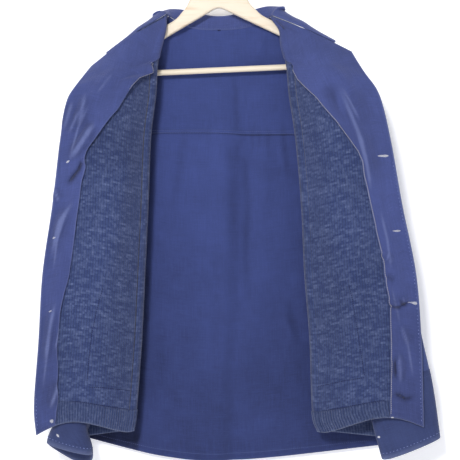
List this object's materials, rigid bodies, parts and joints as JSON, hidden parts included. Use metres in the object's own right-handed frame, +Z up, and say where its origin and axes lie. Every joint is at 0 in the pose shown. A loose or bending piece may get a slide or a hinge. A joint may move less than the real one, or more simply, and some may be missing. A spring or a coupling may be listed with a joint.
{
  "type": "cotton work jacket on a wooden hanger",
  "caption": "Indigo cotton work jacket hanging open on a pale wooden hanger, its knitted fronts folded back over the sleeves to show facings, ribbed hem and the plain inside of the back.",
  "frame": {"origin": "the bearing point under the top of the hanger's hook, where it hangs from a rod", "axes": "+Z up, +Y away from the viewer towards the jacket's back, +X to the viewer's right"},
  "size_m": [0.6207, 0.0983, 0.8206],
  "materials": {
    "indigo_cotton": "plain woven cotton, matt, a little worn at the edges",
    "blue_knit": "marled knitted jersey with a ribbed hem, matt",
    "pale_wood": "clear satin varnish",
    "steel_wire": "bright plated wire",
    "button": "dark blue, slightly glossy"
  },
  "bodies": {
    "root": {"back_yoke": "indigo_cotton", "back_body": "indigo_cotton", "collar_band": "indigo_cotton", "front_left": "blue_knit", "front_right": "blue_knit", "rib_hem_left": "blue_knit", "rib_hem_right": "blue_knit", "facing_left": "indigo_cotton", "facing_right": "indigo_cotton", "pocket_left": "indigo_cotton", "pocket_right": "indigo_cotton", "sleeve_left": "indigo_cotton", "sleeve_right": "indigo_cotton", "cuff_left": "indigo_cotton", "cuff_right": "indigo_cotton", "front_button_1": "button", "front_button_2": "button", "front_button_3": "button", "cuff_button_left": "button", "cuff_button_right": "button", "hanger_wood": "pale_wood", "hanger_bar": "pale_wood", "hanger_hook": "steel_wire"}
  },
  "joints": []
}
